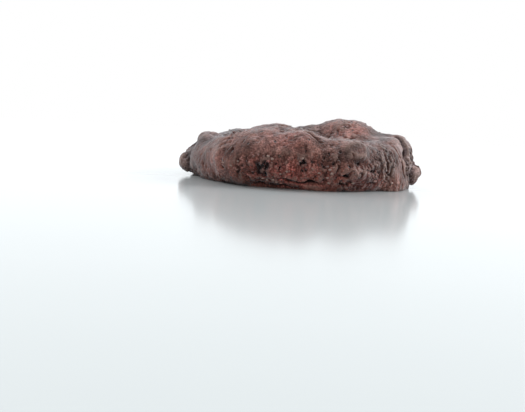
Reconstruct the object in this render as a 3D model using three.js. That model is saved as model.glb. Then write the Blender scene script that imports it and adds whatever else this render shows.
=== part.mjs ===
// A thick chocolate shortbread biscuit, shaped by hand and baked on a flat tray.
// Millimetres, +Z up. The origin is the middle of the underside, and -Y is the front.
// It is one piece of baked dough: a flat underside, a bulging side that tucks in at the
// foot, a rounded shoulder of uneven height and an uneven top, with lumps, knobs, cracks,
// splits and pits.
import * as THREE from "three";

// Driving dimensions.
const BODY_RADIUS = 29.5;
const WIDEST_HEIGHT = 5.4; // the side bulges most at this height
const CROWN_HEIGHT = 12.2; // the middle of the top, before its lumps
const SHOULDER_POWER = 2.15; // 2 is an ellipse, more is squarer
const FOOT_ROUND = 4.2; // how far the foot's rounding reaches in
const FOOT_DROP = 6.1; // the foot's rounding, cut off where it meets the tray
const GRID_STEP = 0.89; // distance between neighbouring points of the surface

// Stations round the rim: height of the shoulder, and how far its rounding reaches in.
const RIM = [
  { turn: -180, height: 10.4, reach: 11.5 },
  { turn: -152, height: 11.0, reach: 10.5 },
  { turn: -125, height: 11.8, reach: 9.5 },
  { turn: -103, height: 13.6, reach: 8.0 },
  { turn: -85, height: 12.4, reach: 6.6 },
  { turn: -62, height: 11.2, reach: 5.2 },
  { turn: -38, height: 11.4, reach: 6.5 },
  { turn: -14, height: 12.4, reach: 8.5 },
  { turn: 15, height: 11.8, reach: 9.5 },
  { turn: 50, height: 11.4, reach: 9.5 },
  { turn: 85, height: 12.0, reach: 9.0 },
  { turn: 120, height: 12.4, reach: 10.0 },
  { turn: 152, height: 11.0, reach: 11.0 },
];
const RIM_BLEND = 44; // how many degrees each station reaches to either side

// The outline's departures from a circle: waves round it, height and turn.
const OUTLINE_WAVES = [
  { waves: 2, height: 0.3, turn: 0 },
  { waves: 3, height: 0.5, turn: 30 },
  { waves: 4, height: 0.3, turn: -22.5 },
  { waves: 5, height: 0.35, turn: 18 },
  { waves: 7, height: 0.25, turn: -12.9 },
  { waves: 9, height: 0.15, turn: 10 },
];

// Lumps and hollows: middle, half widths along X, Y and Z, height, and how steep the side is.
const MOUNDS = [
  { name: "peak", at: [12.8, 1, 13], half: [9.8, 12, 9], out: 4.1, steep: 1.3 },
  { name: "saddle by the peak", at: [3.4, 2, 13], half: [8, 9, 9], out: 2, steep: 1.3 },
  { name: "front centre lobe", at: [-5.5, -14, 13], half: [15, 9, 9], out: 1.45, steep: 1.2 },
  { name: "front lip", at: [0.8, -24, 11.5], half: [5, 6, 4], out: 0.8, steep: 1.3 },
  { name: "smooth lobe", at: [13.2, -27, 9.8], half: [5, 6, 3], out: 1.1, steep: 1.9 },
  { name: "hollow under it", at: [13.6, -28, 6.7], half: [5, 6, 1.7], out: -0.6, steep: 1.3 },
  { name: "ledge under that", at: [14.2, -28, 4.6], half: [5.5, 7, 2.4], out: 0.5, steep: 1.2 },
  { name: "left knuckle", at: [-24, -3.5, 11], half: [5, 7.5, 4.5], out: 1.6, steep: 1.4 },
  { name: "left dip", at: [-29.3, -3, 9], half: [3.6, 9, 3.6], out: -2.6, steep: 1 },
  { name: "right shoulder", at: [23.6, -3, 12], half: [7, 10, 6], out: 0.8, steep: 1.2 },
  { name: "right of the peak", at: [20.3, -1, 13], half: [3.6, 8, 5], out: 0.2, steep: 1.2 },
  { name: "right edge", at: [26.4, -5, 10.4], half: [4, 5, 4], out: 1, steep: 1.2 },
  { name: "right dip", at: [30.5, -1, 7.6], half: [3, 9, 2.6], out: -0.6, steep: 1 },
  { name: "dip behind the left knuckle", at: [-18, -3, 12.5], half: [5.5, 10, 6], out: -0.5, steep: 1 },
  { name: "front centre crest", at: [-4.5, -14, 13], half: [3.6, 8, 6], out: 0.6, steep: 1.2 },
  { name: "saddle crest", at: [3.2, -1, 13], half: [3, 7, 6], out: 0.6, steep: 1.2 },
  { name: "back left lobe", at: [-13, 13, 12], half: [12, 11, 8], out: 0.8, steep: 1 },
  { name: "back right lobe", at: [9, 21, 11], half: [11, 9, 8], out: 0.8, steep: 1 },
  { name: "front left cheek", at: [-19, -23, 6], half: [11, 10, 6], out: 0.9, steep: 1 },
  { name: "front right cheek", at: [13, -27, 4.5], half: [10, 8, 5], out: 0.8, steep: 1 },
  { name: "back cheek", at: [-4, 29, 6], half: [13, 7, 5], out: 0.9, steep: 1 },
  { name: "right front foot", at: [25, -14, 0.5], half: [8, 9, 4.5], out: 1.7, steep: 1.2 },
  { name: "right end's foot", at: [29.5, -7, -0.3], half: [6, 7, 3], out: 1.9, steep: 1.2 },
  { name: "front foot, drawn in", at: [-7, -27, -0.5], half: [14, 8, 3.2], out: -1.4, steep: 1 },
];

// Rounded knobs that stand out of the side at its left and right ends.
const KNOBS = [
  { name: "left knob", at: [-29.4, -4.2, 3.5], half: [9, 2.5, 2.35], out: 2.1 },
  { name: "right knob", at: [29.2, -5.8, 3.8], half: [9, 2.5, 2.4], out: 2.1 },
];

// Splits run up the side or along it. Angles are round Z from +X, and runs are measured
// along the profile, upwards from the widest line.
const SPLITS = [
  { name: "over the rim", from: [-93, 14.5], to: [-79, 7.7], half: 1.0, deep: 1.0 },
  { name: "along the foot", from: [-99, -3.3], to: [-79, -4.1], half: 0.6, deep: 0.7 },
  { name: "right end", from: [-15, 8.5], to: [-21.5, 1.5], half: 1.2, deep: 2.2 },
  { name: "right end, shallow", from: [-8, 8.5], to: [-12, 1], half: 0.8, deep: 0.9 },
  { name: "right cheek", from: [-30, 7], to: [-27, -2], half: 0.7, deep: 0.7 },
];
const SPLIT_TAPER = 2.5; // the length over which a split runs out at its ends
const SPLIT_WAVER = 0.7; // how far a split wanders from its straight line
const EDGE_SPLITS = 22; // more splits, spread round the side by a rule
const UNSPLIT_FRONT = [-172, -46]; // none of them between these angles

// Hollows in the front of the side, by X and Z, and in the top, by X and Y.
const SIDE_HOLES = [
  { name: "wide hollow", at: [-10.4, 4.6], half: [5.6, 2.7], deep: 0.5 },
  { name: "hole in it", at: [-7.5, 5.3], half: [1.5, 1.4], deep: 1.4 },
  { name: "hole beside it", at: [-9.1, 4.5], half: [1.2, 1.8], deep: 1.5 },
  { name: "hole below it", at: [-7.9, 3.3], half: [1.6, 0.9], deep: 1.1 },
  { name: "right hole", at: [10.8, 4], half: [0.7, 0.5], deep: 1.1 },
  { name: "hole by the foot", at: [11.7, 1.8], half: [0.8, 1], deep: 1.6 },
];
const TOP_HOLES = [
  { name: "slash in the rim", at: [-1.4, -20.6], half: [0.4, 1.4], deep: 1.2 },
  { name: "left of the peak's foot", at: [6.8, -7.2], half: [1.5, 0.5], deep: 1.1 },
  { name: "peak's foot", at: [12.4, -8.9], half: [1.7, 0.6], deep: 1.3 },
];
const FRONT_OF_SIDE = -16; // side hollows lie in front of this, along Y
const LOWEST_TOP = 10.5; // and top hollows above this
const WIDENED = 0.7; // narrow splits and hollows are opened this much for the grid

// Where the dough is more crumbly than elsewhere, or smoother where the amount is negative.
const ROUGH_PATCHES = [
  { at: [-8, -28, 4], half: [9, 9, 5], amount: 0.9 },
  { at: [4, -29, 5], half: [11, 9, 6], amount: 0.8 },
  { at: [15, -26, 4], half: [9, 9, 5], amount: 0.6 },
  { at: [11.5, -6, 14], half: [10, 8, 4], amount: 0.5 },
  { at: [28, -8, 6], half: [6, 9, 6], amount: 0.5 },
  { at: [-24, -14, 8], half: [12, 16, 9], amount: -1.3 },
  { at: [-5, -24, 10.5], half: [9, 9, 5], amount: -0.9 },
  { at: [12.7, -26, 9.8], half: [5.5, 7, 3.2], amount: -1.3 },
];

const PLATE_CELL = 12.5; // the plates that the top is cracked into
const CRUMB_CELL = 2.9;
const PIT_CELL = 4.6; // about one pit in each cube of this size that has one

const clamp = (value) => Math.min(1, Math.max(0, value));
const ease = (value) => {
  const t = clamp(value);
  return t * t * (3 - 2 * t);
};
const radians = (degrees) => (degrees * Math.PI) / 180;

// A repeatable number from 0 to 1 for one cell of a grid.
function cellRandom(ix, iy, iz, salt) {
  let h = Math.imul(ix, 0x27d4eb2d) ^ Math.imul(iy, 0x165667b1);
  h ^= Math.imul(iz, 0x9e3779b1) ^ Math.imul(salt, 0x85ebca6b);
  h = Math.imul(h ^ (h >>> 15), 0x2c1b3c6d);
  h = Math.imul(h ^ (h >>> 12), 0x297a2d39);
  return ((h ^ (h >>> 15)) >>> 0) / 4294967296;
}

// Smooth noise from about -1 to 1, with bumps about two cells across.
function waves(point, cell, salt) {
  const scaled = point.map((value) => value / cell);
  const low = scaled.map(Math.floor);
  const part = scaled.map((value, axis) => value - low[axis]);
  const eased = part.map((t) => t * t * t * (t * (t * 6 - 15) + 10));
  let total = 0;
  for (let corner = 0; corner < 8; corner++) {
    const step = [corner & 1, (corner >> 1) & 1, (corner >> 2) & 1];
    const cellAt = low.map((value, axis) => value + step[axis]);
    let weight = 1;
    let slope = 0;
    for (let axis = 0; axis < 3; axis++) {
      weight *= step[axis] ? eased[axis] : 1 - eased[axis];
      const lean = 2 * cellRandom(...cellAt, salt * 3 + axis) - 1;
      slope += lean * (part[axis] - step[axis]);
    }
    total += weight * slope;
  }
  return total * 1.6;
}

// The point, moved about by smooth noise.
const warped = (point, amount, cell, salt) =>
  point.map((value, axis) => value + amount * waves(point, cell, salt + axis));

// Distances to the nearest and second nearest of one scattered point in each cell, in
// cells, and a random number that belongs to the nearest.
function scatter(point, cell, salt) {
  const scaled = point.map((value) => value / cell);
  const low = scaled.map(Math.floor);
  let first = 9;
  let second = 9;
  let luck = 0;
  for (let dx = -1; dx <= 1; dx++) {
    for (let dy = -1; dy <= 1; dy++) {
      for (let dz = -1; dz <= 1; dz++) {
        const cellAt = [low[0] + dx, low[1] + dy, low[2] + dz];
        const gap = cellAt.map(
          (value, axis) => value + cellRandom(...cellAt, salt * 5 + axis) - scaled[axis],
        );
        const distance = Math.hypot(...gap);
        if (distance < first) {
          second = first;
          first = distance;
          luck = cellRandom(...cellAt, salt * 5 + 4);
        } else if (distance < second) {
          second = distance;
        }
      }
    }
  }
  return { first, second, luck };
}

// Height and reach of the shoulder at an angle, blended between the stations.
function rimAt(angle) {
  let [total, height, reach] = [0, 0, 0];
  for (const station of RIM) {
    const away = Math.abs(((((angle * 180) / Math.PI - station.turn + 540) % 360) + 360) % 360 - 180);
    const weight = ease(1 - away / RIM_BLEND);
    total += weight;
    height += weight * station.height;
    reach += weight * station.reach;
  }
  return { height: height / total, reach: reach / total };
}
const MEAN_RIM = {
  height: RIM.reduce((sum, station) => sum + station.height, 0) / RIM.length,
  reach: RIM.reduce((sum, station) => sum + station.reach, 0) / RIM.length,
};

// Radius and height of a point of the foot (0), the shoulder (1) or the crown (2).
function profileAt(section, share, rim) {
  if (section === 0) {
    const turn = -Math.asin(WIDEST_HEIGHT / FOOT_DROP) * (1 - share);
    const radius = BODY_RADIUS - FOOT_ROUND * (1 - Math.cos(turn));
    return [radius, WIDEST_HEIGHT + FOOT_DROP * Math.sin(turn)];
  }
  if (section === 1) {
    const turn = (share * Math.PI) / 2;
    const power = 2 / SHOULDER_POWER;
    const radius = BODY_RADIUS - rim.reach * (1 - Math.max(0, Math.cos(turn)) ** power);
    return [radius, WIDEST_HEIGHT + (rim.height - WIDEST_HEIGHT) * Math.sin(turn) ** power];
  }
  const radius = (BODY_RADIUS - rim.reach) * (1 - share);
  return [radius, rim.height + (CROWN_HEIGHT - rim.height) * ease(share)];
}

// Points evenly spaced along the profile, from the foot's edge to the middle of the top.
// run is the distance along it, upwards from the widest line.
function profile(step) {
  const fine = 400;
  const dense = [];
  for (let i = 0; i <= 3 * fine; i++) {
    const section = Math.min(2, Math.floor(i / fine));
    dense.push(profileAt(section, i / fine - section, MEAN_RIM));
  }
  const lengths = [0];
  for (let i = 1; i < dense.length; i++) {
    const [a, b] = [dense[i - 1], dense[i]];
    lengths.push(lengths[i - 1] + Math.hypot(b[0] - a[0], b[1] - a[1]));
  }
  const whole = lengths[lengths.length - 1];
  const count = Math.round(whole / step);
  const points = [];
  let at = 0;
  for (let k = 0; k < count; k++) {
    const target = (whole * k) / count;
    while (lengths[at + 1] < target) at++;
    const part = (target - lengths[at]) / (lengths[at + 1] - lengths[at]);
    const section = Math.min(2, Math.floor((at + part) / fine));
    const share = (at + part) / fine - section;
    points.push({ section, share, run: target - lengths[fine] });
  }
  return points;
}

function outlineAt(angle) {
  let out = 0;
  for (const wave of OUTLINE_WAVES) {
    out += wave.height * Math.cos(wave.waves * (angle - radians(wave.turn)));
  }
  return 1 + out / BODY_RADIUS;
}

// How far a point is from the middle of a form, in the form's half widths.
const awayFrom = (point, { at, half }, widened = 0) =>
  Math.hypot(...point.map((value, axis) => (value - at[axis]) / (half[axis] + widened)));

function moundsAt(point) {
  let total = 0;
  for (const mound of MOUNDS) total += mound.out * ease(mound.steep * (1 - awayFrom(point, mound)));
  for (const knob of KNOBS) total += knob.out * Math.sqrt(clamp(1 - awayFrom(point, knob) ** 2));
  return total;
}

// More splits round the side, each with its own lean, length and depth.
function edgeSplits() {
  const made = [];
  for (let k = 0; k < EDGE_SPLITS; k++) {
    const chance = (n) => cellRandom(k, n, 7, 91);
    const angle = -180 + (360 * (k + 0.8 * chance(0))) / EDGE_SPLITS;
    if (angle > UNSPLIT_FRONT[0] && angle < UNSPLIT_FRONT[1]) continue;
    const top = 2 + 8.5 * chance(1);
    const long = 3.5 + 6.5 * chance(2);
    const lean = 14 * (chance(3) - 0.5);
    made.push({
      from: [angle + lean, top],
      to: [angle, Math.max(-4.5, top - long)],
      half: 0.6 + 0.5 * chance(4),
      deep: 0.25 + 0.9 * chance(5) ** 2,
    });
  }
  return made;
}
const ALL_SPLITS = [...SPLITS, ...edgeSplits()];

// How deep the splits are at a place on the surface.
function splitsAt({ place, angle, radius, run }) {
  const across = SPLIT_WAVER * waves(place, 2.6, 11);
  const along = SPLIT_WAVER * waves(place, 2.6, 12);
  let deepest = 0;
  for (const { from, to, half, deep } of ALL_SPLITS) {
    const middle = radians((from[0] + to[0]) / 2);
    const turn = Math.atan2(Math.sin(angle - middle), Math.cos(angle - middle));
    const x = turn * radius + across;
    const y = run + along;
    const half0 = (radians(from[0] - to[0]) / 2) * radius;
    const dx = -2 * half0;
    const dy = to[1] - from[1];
    const long = Math.hypot(dx, dy);
    const share = clamp(((x - half0) * dx + (y - from[1]) * dy) / (long * long));
    const gap = Math.hypot(x - half0 - share * dx, y - from[1] - share * dy);
    const end = Math.min(share, 1 - share) * long;
    const taper = 0.35 + 0.65 * ease(end / SPLIT_TAPER);
    deepest = Math.max(deepest, deep * taper * ease(1 - gap / (half + WIDENED)));
  }
  return deepest;
}

function holesAt(point) {
  const bent = warped(point, 0.8, 1.2, 60);
  let deepest = 0;
  const carve = (holes, spot) => {
    for (const hole of holes) {
      const depth = hole.deep * ease(1.35 * (1 - awayFrom(spot, hole, WIDENED)));
      deepest = Math.max(deepest, depth);
    }
  };
  if (point[1] < FRONT_OF_SIDE) carve(SIDE_HOLES, [bent[0], bent[2]]);
  if (point[2] > LOWEST_TOP) carve(TOP_HOLES, [bent[0], bent[1]]);
  return deepest * (0.85 + 0.5 * waves(point, 1.1, 64));
}

// 0 where the dough has a smooth skin, 1 where it is crumbly.
function roughnessAt(point, topShare) {
  let rough = 0.62 - 0.42 * topShare + 0.95 * waves(point, 8, 41) + 0.4 * waves(point, 3.5, 42);
  for (const patch of ROUGH_PATCHES) {
    rough += patch.amount * ease(1.3 * (1 - awayFrom(point, patch)));
  }
  return ease(rough);
}

// The plates of the top, the side's crumbs, and pits here and there.
function textureAt(point, topShare) {
  const plate = scatter(warped(point, 2, 5.2, 20), PLATE_CELL, 20);
  const gap = (plate.second - plate.first) * PLATE_CELL;
  const rough = roughnessAt(point, topShare);
  const onTop = 0.1 + 0.9 * ease(2.5 * topShare - 1.5);
  const open = ease(0.35 + 1.3 * waves(point, 11, 43)) * onTop * (0.3 + 0.7 * clamp(2 * rough));
  const crack = open * ease(1 - gap / 2.2);
  const puff = 0.8 * (0.5 - clamp(plate.first) ** 2) * (0.45 + 0.55 * topShare);
  const swell = 0.8 * waves(point, 9, 31) + 0.4 * waves(point, 3.6, 32);
  const crumb = scatter(point, CRUMB_CELL, 5);
  const crumbs = rough * 0.55 * (0.45 - crumb.first);
  const pit = scatter(warped(point, 0.7, 1.6, 65), PIT_CELL, 6);
  const pitSize = 0.12 + 0.14 * pit.luck;
  const pits = pit.luck > 0.45 ? (0.25 + 0.5 * rough) * ease(1.3 * (1 - pit.first / pitSize)) : 0;
  return puff + swell + crumbs - pits - crack;
}

// Rings of points, from the foot's edge to the last ring round the middle of the top.
function rings() {
  return profile(GRID_STEP).map(({ section, share, run }, row) => {
    const meanRadius = profileAt(section, share, MEAN_RIM)[0];
    const count = Math.max(6, Math.round((2 * Math.PI * meanRadius) / GRID_STEP));
    const spots = [];
    for (let i = 0; i < count; i++) {
      const along = (i + (row % 2) / 2) / count;
      const angle = 2 * Math.PI * along - Math.PI;
      const [radius, height] = profileAt(section, share, rimAt(angle));
      const reach = radius * outlineAt(angle);
      const place = [reach * Math.cos(angle), reach * Math.sin(angle), height];
      spots.push({ place, angle, radius, run, along });
    }
    return spots;
  });
}

// Triangles between two rings that may have different numbers of points.
function stitch(lower, upper, lowerStart, upperStart, faces) {
  const [n, m] = [lower.length, upper.length];
  const turnOf = (ring, i) => ring[i % ring.length].along + Math.floor(i / ring.length);
  let [i, j] = [0, 0];
  while (i < n || j < m) {
    const a = lowerStart + (i % n);
    const b = upperStart + (j % m);
    const lowerNext = turnOf(lower, i + 1);
    const upperNext = turnOf(upper, j + 1);
    if (j >= m || (i < n && lowerNext <= upperNext)) {
      faces.push(a, lowerStart + ((i + 1) % n), b);
      i++;
    } else {
      faces.push(a, upperStart + ((j + 1) % m), b);
      j++;
    }
  }
}

// The rings joined into one closed surface, with a point in the middle of the top and one
// in the middle of the underside.
function closedGrid(allRings) {
  const spots = allRings.flat();
  const faces = [];
  let start = 0;
  for (let row = 0; row + 1 < allRings.length; row++) {
    const next = start + allRings[row].length;
    stitch(allRings[row], allRings[row + 1], start, next, faces);
    start = next;
  }
  const last = allRings[allRings.length - 1];
  const top = spots.length;
  last.forEach((_, i) => faces.push(start + i, start + ((i + 1) % last.length), top));
  spots.push({ place: [0, 0, CROWN_HEIGHT], angle: 0, radius: 0, run: 99 });
  const foot = spots.length;
  const first = allRings[0].length;
  allRings[0].forEach((_, i) => faces.push(foot, (i + 1) % first, i));
  spots.push({ place: [0, 0, 0], angle: 0, radius: 0, run: -99 });
  return { spots, faces };
}

function liftAt(spot) {
  const { place } = spot;
  const topShare = ease((place[2] - WIDEST_HEIGHT) / (CROWN_HEIGHT - 1 - WIDEST_HEIGHT));
  return moundsAt(place) + textureAt(place, topShare) - splitsAt(spot) - holesAt(place);
}

function shortbreadGeometry() {
  const allRings = rings();
  const { spots, faces } = closedGrid(allRings);
  const geometry = new THREE.BufferGeometry();
  const smooth = new Float32Array(spots.flatMap((spot) => spot.place));
  geometry.setAttribute("position", new THREE.BufferAttribute(smooth, 3));
  geometry.setIndex(faces);
  geometry.computeVertexNormals();
  const normals = geometry.getAttribute("normal");
  const made = geometry.getAttribute("position");
  const footRing = allRings[0].length;
  spots.forEach((spot, i) => {
    if (spot.run === -99) return;
    const [x, y, z] = spot.place;
    const out = liftAt(spot);
    if (i < footRing) {
      const wider = 1 + out / Math.hypot(x, y);
      made.setXYZ(i, x * wider, y * wider, 0);
      return;
    }
    const height = Math.max(0.15, z + out * normals.getZ(i));
    made.setXYZ(i, x + out * normals.getX(i), y + out * normals.getY(i), height);
  });
  geometry.computeBoundingBox();
  const { min, max } = geometry.boundingBox;
  geometry.translate(-(min.x + max.x) / 2, -(min.y + max.y) / 2, 0);
  geometry.computeVertexNormals();
  return geometry;
}

const bakedDough = new THREE.MeshStandardMaterial({
  name: "chocolate_dough",
  color: new THREE.Color(0x5f3f38),
  roughness: 0.8,
  metalness: 0,
});

const shortbread = new THREE.Mesh(shortbreadGeometry(), bakedDough);
shortbread.name = "shortbread";

const biscuit = new THREE.Group();
biscuit.add(shortbread);

export default biscuit;
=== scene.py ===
"""A thick chocolate shortbread biscuit on a pale floor, seen from low in front.

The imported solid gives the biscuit's place and size. The piece that stands for it repeats
the solid's form from the same named sizes, on a far finer grid, and adds what is smaller
than the solid's faces: crumbs, pores, fine splits and grain. Lengths inside the form's
functions are millimetres, as in the solid, and Blender's are metres.
"""
import math
from itertools import combinations

import bpy
import numpy as np
from mathutils import Matrix, Vector


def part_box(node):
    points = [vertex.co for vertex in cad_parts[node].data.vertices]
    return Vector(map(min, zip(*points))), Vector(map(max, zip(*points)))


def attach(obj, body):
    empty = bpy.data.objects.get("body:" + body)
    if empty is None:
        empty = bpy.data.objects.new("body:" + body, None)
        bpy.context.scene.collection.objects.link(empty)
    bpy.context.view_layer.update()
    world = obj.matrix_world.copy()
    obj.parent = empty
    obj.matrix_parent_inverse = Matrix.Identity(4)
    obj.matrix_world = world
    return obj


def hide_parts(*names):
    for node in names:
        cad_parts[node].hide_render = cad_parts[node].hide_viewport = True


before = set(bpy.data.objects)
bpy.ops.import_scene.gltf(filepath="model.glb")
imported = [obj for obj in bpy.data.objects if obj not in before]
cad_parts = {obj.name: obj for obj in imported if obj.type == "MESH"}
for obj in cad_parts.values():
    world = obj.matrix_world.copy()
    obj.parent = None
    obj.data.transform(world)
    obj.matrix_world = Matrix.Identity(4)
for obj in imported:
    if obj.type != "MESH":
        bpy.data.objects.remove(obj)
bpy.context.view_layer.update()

MM = 0.001

# The solid's driving dimensions, in millimetres.
BODY_RADIUS = 29.5
WIDEST_HEIGHT = 5.4
CROWN_HEIGHT = 12.2
SHOULDER_POWER = 2.15
FOOT_ROUND = 4.2
FOOT_DROP = 6.1
GRID_STEP = 0.235
FOOT_STEP = 0.55

# The run is the way along the surface, from the widest height up. All of the underside has
# the first value, and the middle of the top the second.
UNDERSIDE_RUN = -99.0
TOP_RUN = 99.0

# Stations round the rim: angle, height of the shoulder, and how far its rounding reaches in.
# Each counts as far as RIM_REACH degrees to either side.
RIM = [
    (-180, 10.4, 11.5),
    (-152, 11.0, 10.5),
    (-125, 11.8, 9.5),
    (-103, 13.6, 8.0),
    (-85, 12.4, 6.6),
    (-62, 11.2, 5.2),
    (-38, 11.4, 6.5),
    (-14, 12.4, 8.5),
    (15, 11.8, 9.5),
    (50, 11.4, 9.5),
    (85, 12.0, 9.0),
    (120, 12.4, 10.0),
    (152, 11.0, 11.0),
]
RIM_REACH = 44

# Waves round the outline: number, height, turn in degrees.
OUTLINE_WAVES = [
    (2, 0.3, 0),
    (3, 0.5, 30),
    (4, 0.3, -22.5),
    (5, 0.35, 18),
    (7, 0.25, -12.9),
    (9, 0.15, 10),
]

# Lumps and hollows: middle, half widths along X, Y and Z, height, and how steep the side is.
MOUNDS = [
    ((12.8, 1, 13), (9.8, 12, 9), 4.1, 1.3),
    ((3.4, 2, 13), (8, 9, 9), 2.0, 1.3),
    ((-5.5, -14, 13), (15, 9, 9), 1.45, 1.2),
    ((0.8, -24, 11.5), (5, 6, 4), 0.8, 1.3),
    ((13.2, -27, 9.8), (5.0, 6, 3.0), 1.1, 1.9),
    ((13.6, -28, 6.7), (5.0, 6, 1.7), -0.6, 1.3),
    ((14.2, -28, 4.6), (5.5, 7, 2.4), 0.5, 1.2),
    ((-24.0, -3.5, 11), (5, 7.5, 4.5), 1.6, 1.4),
    ((-29.3, -3, 9.0), (3.6, 9, 3.6), -2.6, 1.0),
    ((23.6, -3, 12), (7, 10, 6), 0.8, 1.2),
    ((20.3, -1, 13), (3.6, 8, 5), 0.2, 1.2),
    ((26.4, -5, 10.4), (4, 5, 4), 1.0, 1.2),
    ((30.5, -1, 7.6), (3.0, 9, 2.6), -0.6, 1.0),
    ((-18, -3, 12.5), (5.5, 10, 6), -0.5, 1.0),
    ((-4.5, -14, 13), (3.6, 8, 6), 0.6, 1.2),
    ((3.2, -1, 13), (3, 7, 6), 0.6, 1.2),
    ((-13, 13, 12), (12, 11, 8), 0.8, 1.0),
    ((9, 21, 11), (11, 9, 8), 0.8, 1.0),
    ((-19, -23, 6), (11, 10, 6), 0.9, 1.0),
    ((13, -27, 4.5), (10, 8, 5), 0.8, 1.0),
    ((-4, 29, 6), (13, 7, 5), 0.9, 1.0),
    ((25, -14, 0.5), (8, 9, 4.5), 1.7, 1.2),
    ((29.5, -7, -0.3), (6, 7, 3.0), 1.9, 1.2),
    ((-7, -27, -0.5), (14, 8, 3.2), -1.4, 1.0),
]

# Rounded knobs at the rim, in the same order without the steepness.
KNOBS = [
    ((-29.4, -4.2, 3.5), (9, 2.5, 2.35), 2.1),
    ((29.2, -5.8, 3.8), (9, 2.5, 2.4), 2.1),
]

# Splits: (angle, run) at both ends, half width and depth. Each has a narrower, deeper core.
SPLITS = [
    ((-93, 14.5), (-79, 7.7), 1.0, 1.0),
    ((-99, -3.3), (-79, -4.1), 0.6, 0.7),
    ((-15, 8.5), (-21.5, 1.5), 1.2, 2.2),
    ((-8, 8.5), (-12, 1.0), 0.8, 0.9),
    ((-30, 7.0), (-27, -2.0), 0.7, 0.7),
]
SPLIT_TAPER = 2.5
SPLIT_WAVER = 0.7
SPLIT_WAVER_CELL = 2.6
SPLIT_CORE_WIDTH = 0.4
SPLIT_CORE_DEPTH = 0.45

# Splits made by a rule round the rim, but not in front. A pair is the least value, and how
# much more it may be by chance.
EDGE_SPLITS = 22
UNSPLIT_FRONT = (-172, -46)
EDGE_SPLIT_ASIDE = 0.8
EDGE_SPLIT_TOP = (2, 8.5)
EDGE_SPLIT_LENGTH = (3.5, 6.5)
EDGE_SPLIT_LOWEST = -4.5
EDGE_SPLIT_LEAN = 14
EDGE_SPLIT_HALF = (0.6, 0.5)
EDGE_SPLIT_DEPTH = (0.25, 0.9)
EDGE_SPLIT_SALT = 91

# Holes in the front of the side: X, Z, half width, half height and depth.
SIDE_HOLES = [
    (-10.4, 4.6, 5.6, 2.7, 0.5),
    (-7.5, 5.3, 1.5, 1.4, 1.4),
    (-9.1, 4.5, 1.2, 1.8, 1.5),
    (-7.9, 3.3, 1.6, 0.9, 1.1),
    (-10.3, 3.9, 0.5, 1.6, 0.9),
    (-11.7, 4.9, 0.4, 1.3, 0.7),
    (-13.3, 3.9, 0.4, 1.3, 0.8),
    (-17.0, 4.2, 0.5, 0.4, 0.6),
    (-25.4, 3.3, 0.6, 0.5, 0.8),
    (-1.6, 3.4, 0.45, 0.6, 0.8),
    (0.9, 6.6, 0.35, 1.3, 1.2),
    (1.6, 4.5, 0.35, 0.6, 0.7),
    (1.8, 8.9, 0.4, 0.5, 0.7),
    (3.0, 7.0, 0.6, 0.3, 0.6),
    (3.9, 3.1, 0.3, 0.8, 0.8),
    (2.7, 2.1, 0.8, 0.35, 0.7),
    (5.7, 5.6, 0.4, 0.4, 0.8),
    (7.0, 7.0, 0.5, 0.3, 0.6),
    (7.3, 10.6, 0.3, 1.0, 0.7),
    (8.9, 7.5, 0.3, 0.8, 0.7),
    (10.8, 4.0, 0.7, 0.5, 1.1),
    (11.7, 1.8, 0.8, 1.0, 1.6),
    (15.8, 5.7, 0.5, 0.4, 1.2),
    (17.1, 5.0, 0.4, 0.7, 1.2),
    (21.4, 4.4, 0.8, 0.35, 0.7),
]

# Holes in the top: X, Y, half widths and depth.
TOP_HOLES = [
    (-1.4, -20.6, 0.4, 1.4, 1.2),
    (-4.4, -21.6, 0.35, 0.9, 0.6),
    (6.8, -7.2, 1.5, 0.5, 1.1),
    (12.4, -8.9, 1.7, 0.6, 1.3),
    (14.2, -7.0, 0.8, 0.35, 0.7),
    (12.0, -5.0, 2.6, 0.35, 0.5),
    (9.6, -6.6, 0.35, 0.8, 0.8),
]

# The side's holes are in front of this Y, and the top's are above this Z.
FRONT_OF_SIDE = -16.0
LOWEST_TOP = 10.5
# How much the holes and splits add to the hollow layer, which is painted as shade.
HOLE_SHADING = 0.3

# Where the dough is crumbly or smooth: middle, half widths along X, Y and Z, and amount.
ROUGH_PATCHES = [
    ((-8, -28, 4), (9, 9, 5), 0.9),
    ((4, -29, 5), (11, 9, 6), 0.8),
    ((15, -26, 4), (9, 9, 5), 0.6),
    ((11.5, -6, 14), (10, 8, 4), 0.5),
    ((28, -8, 6), (6, 9, 6), 0.5),
    ((-24, -14, 8), (12, 16, 9), -1.3),
    ((-5, -24, 10.5), (9, 9, 5), -0.9),
    ((12.7, -26, 9.8), (5.5, 7, 3.2), -1.3),
]

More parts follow.
